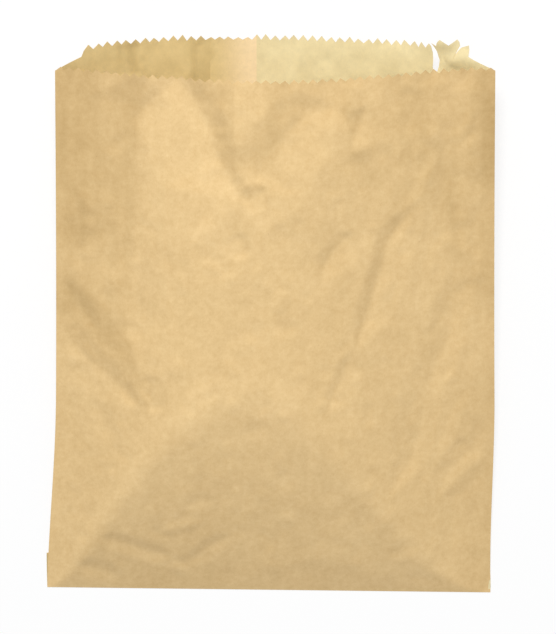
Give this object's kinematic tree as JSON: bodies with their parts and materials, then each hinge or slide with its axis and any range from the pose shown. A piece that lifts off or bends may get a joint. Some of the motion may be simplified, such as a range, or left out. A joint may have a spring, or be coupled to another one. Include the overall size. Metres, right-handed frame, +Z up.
{
  "type": "flat paper bag",
  "caption": "Flat kraft paper bag lying on its back, slightly puffed open, with a saw-toothed mouth, a glued lap seam and a turned-up bottom.",
  "frame": {"origin": "centre of the flat underside that the bag lies on, half way along its flat length", "axes": "+X across the bag, +Y from its bottom fold to its mouth, +Z up from the table"},
  "size_m": [0.2356, 0.3063, 0.0422],
  "materials": {
    "kraft_paper": "matte, machine-smoothed brown kraft"
  },
  "bodies": {
    "root": {"paper_bag": "kraft_paper"}
  },
  "joints": []
}
